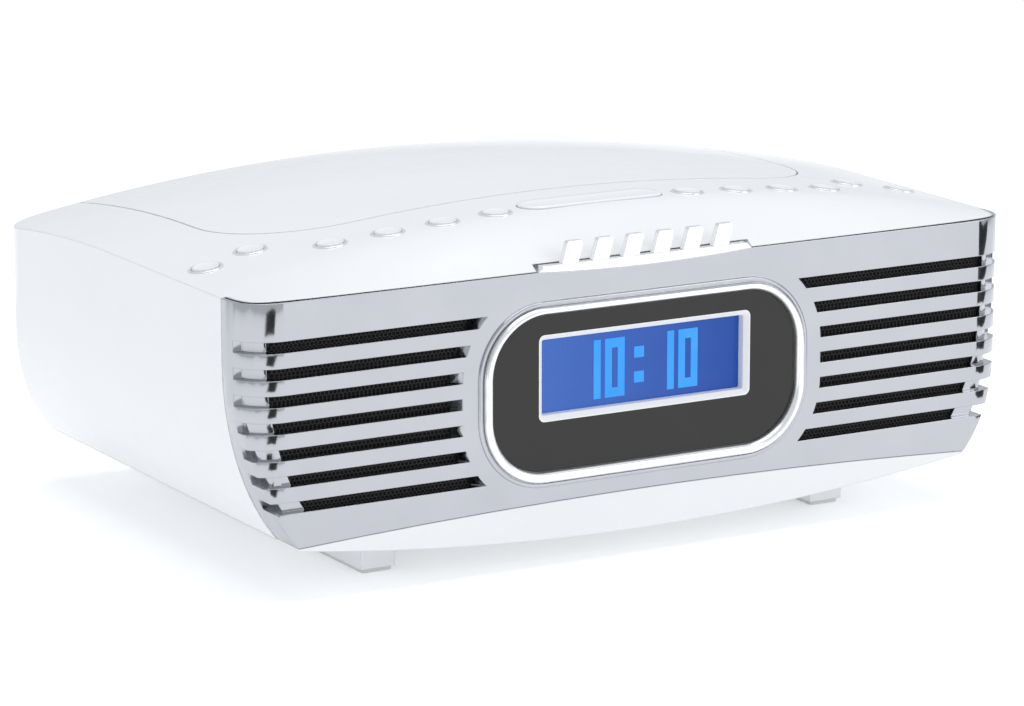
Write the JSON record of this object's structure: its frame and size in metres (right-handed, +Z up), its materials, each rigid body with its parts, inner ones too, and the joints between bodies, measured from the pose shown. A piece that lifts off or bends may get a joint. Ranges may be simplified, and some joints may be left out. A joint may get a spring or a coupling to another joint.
{
  "type": "clock radio",
  "caption": "Table-top clock radio with a domed white case, slotted chrome front, oval clock display and a top lid over a disc player.",
  "frame": {"origin": "middle of the footprint, on the table that the feet stand on", "axes": "+X to the right seen from the front, +Y from the front to the back, +Z up"},
  "size_m": [0.3, 0.1992, 0.1169],
  "materials": {
    "white_plastic": "moulded gloss white ABS",
    "chrome_trim": "bright chrome plate on plastic",
    "mesh_black": "black perforated sheet",
    "smoked_glass": "smoked acrylic, gloss",
    "light_frame": "light grey moulded frame",
    "lcd_blue": "backlit blue liquid-crystal panel",
    "lcd_figures": "lit figures",
    "board_green": "circuit board, satin",
    "grey_plastic": "light grey moulding, fine texture",
    "black_plastic": "black moulding, satin",
    "steel": "bright steel",
    "magnet_grey": "sintered ferrite, matt",
    "rubber_black": "soft rubber",
    "rubber_white": "pale rubber, matt",
    "aluminium_fins": "extruded aluminium",
    "lens_clear": "polished lens"
  },
  "bodies": {
    "case": {"aerial_socket": "steel", "aux_jack": "black_plastic", "base_tray": "white_plastic", "case_screws": "steel", "clock_digits": "lcd_figures", "dc_inlet": "black_plastic", "disc_deck": "grey_plastic", "display_board": "board_green", "display_glass": "smoked_glass", "display_ring": "chrome_trim", "drive_chassis": "grey_plastic", "drive_grommets": "rubber_black", "front_grille": "chrome_trim", "grille_mesh_left": "mesh_black", "grille_mesh_right": "mesh_black", "guide_rods": "steel", "headphone_jack": "black_plastic", "heat_sink": "aluminium_fins", "hinge_pins": "steel", "key_board": "board_green", "key_rings": "chrome_trim", "key_switches": "black_plastic", "lcd_frame": "light_frame", "lcd_panel": "lcd_blue", "main_board": "board_green", "ornament_plinth": "chrome_trim", "ornament_tabs": "chrome_trim", "rubber_feet": "rubber_white", "speaker_basket_left": "steel", "speaker_basket_right": "steel", "speaker_cone_left": "black_plastic", "speaker_cone_right": "black_plastic", "speaker_magnet_left": "magnet_grey", "speaker_magnet_right": "magnet_grey", "spindle_motor": "steel", "top_case": "white_plastic", "tuner_can": "steel"},
    "lid": {"disc_lid": "white_plastic"},
    "clamp": {"disc_clamp": "grey_plastic"},
    "snooze": {"snooze_bar": "white_plastic"},
    "spindle": {"turntable": "grey_plastic", "spindle_shaft": "steel"},
    "sled": {"laser_sled": "grey_plastic", "laser_lens": "lens_clear"},
    "key_01_cap": {"key_01": "white_plastic"},
    "key_02_cap": {"key_02": "white_plastic"},
    "key_03_cap": {"key_03": "white_plastic"},
    "key_04_cap": {"key_04": "white_plastic"},
    "key_05_cap": {"key_05": "white_plastic"},
    "key_06_cap": {"key_06": "white_plastic"},
    "key_07_cap": {"key_07": "white_plastic"},
    "key_08_cap": {"key_08": "white_plastic"},
    "key_09_cap": {"key_09": "white_plastic"},
    "key_10_cap": {"key_10": "white_plastic"},
    "key_11_cap": {"key_11": "white_plastic"},
    "key_12_cap": {"key_12": "white_plastic"}
  },
  "joints": [
    {"name": "lid_hinge", "type": "hinge", "parent": "case", "child": "lid", "pos_m": [0, 0.09, 0.084], "axis": [-1, 0, 0], "range_deg": [0, 65]},
    {"name": "clamp_spin", "type": "hinge", "parent": "lid", "child": "clamp", "pos_m": [0, 0.0275, 0.1], "axis": [0, 0, 1], "continuous": true},
    {"name": "spindle_spin", "type": "hinge", "parent": "case", "child": "spindle", "pos_m": [0, 0.0275, 0.088], "axis": [0, 0, 1], "continuous": true},
    {"name": "sled_slide", "type": "slide", "parent": "case", "child": "sled", "axis": [1, 0, 0], "range_m": [0, 0.02]},
    {"name": "snooze_press", "type": "slide", "parent": "case", "child": "snooze", "axis": [0, 0, -1], "range_m": [0, 0.0012], "stiffness_N_per_m": 500, "springref_m": -0.0006},
    {"name": "key_01_press", "type": "slide", "parent": "case", "child": "key_01_cap", "axis": [0, 0, -1], "range_m": [0, 0.001], "stiffness_N_per_m": 300, "springref_m": -0.0006},
    {"name": "key_02_press", "type": "slide", "parent": "case", "child": "key_02_cap", "axis": [0, 0, -1], "range_m": [0, 0.001], "stiffness_N_per_m": 300, "springref_m": -0.0006},
    {"name": "key_03_press", "type": "slide", "parent": "case", "child": "key_03_cap", "axis": [0, 0, -1], "range_m": [0, 0.001], "stiffness_N_per_m": 300, "springref_m": -0.0006},
    {"name": "key_04_press", "type": "slide", "parent": "case", "child": "key_04_cap", "axis": [0, 0, -1], "range_m": [0, 0.001], "stiffness_N_per_m": 300, "springref_m": -0.0006},
    {"name": "key_05_press", "type": "slide", "parent": "case", "child": "key_05_cap", "axis": [0, 0, -1], "range_m": [0, 0.001], "stiffness_N_per_m": 300, "springref_m": -0.0006},
    {"name": "key_06_press", "type": "slide", "parent": "case", "child": "key_06_cap", "axis": [0, 0, -1], "range_m": [0, 0.001], "stiffness_N_per_m": 300, "springref_m": -0.0006},
    {"name": "key_07_press", "type": "slide", "parent": "case", "child": "key_07_cap", "axis": [0, 0, -1], "range_m": [0, 0.001], "stiffness_N_per_m": 300, "springref_m": -0.0006},
    {"name": "key_08_press", "type": "slide", "parent": "case", "child": "key_08_cap", "axis": [0, 0, -1], "range_m": [0, 0.001], "stiffness_N_per_m": 300, "springref_m": -0.0006},
    {"name": "key_09_press", "type": "slide", "parent": "case", "child": "key_09_cap", "axis": [0, 0, -1], "range_m": [0, 0.001], "stiffness_N_per_m": 300, "springref_m": -0.0006},
    {"name": "key_10_press", "type": "slide", "parent": "case", "child": "key_10_cap", "axis": [0, 0, -1], "range_m": [0, 0.001], "stiffness_N_per_m": 300, "springref_m": -0.0006},
    {"name": "key_11_press", "type": "slide", "parent": "case", "child": "key_11_cap", "axis": [0, 0, -1], "range_m": [0, 0.001], "stiffness_N_per_m": 300, "springref_m": -0.0006},
    {"name": "key_12_press", "type": "slide", "parent": "case", "child": "key_12_cap", "axis": [0, 0, -1], "range_m": [0, 0.001], "stiffness_N_per_m": 300, "springref_m": -0.0006}
  ]
}
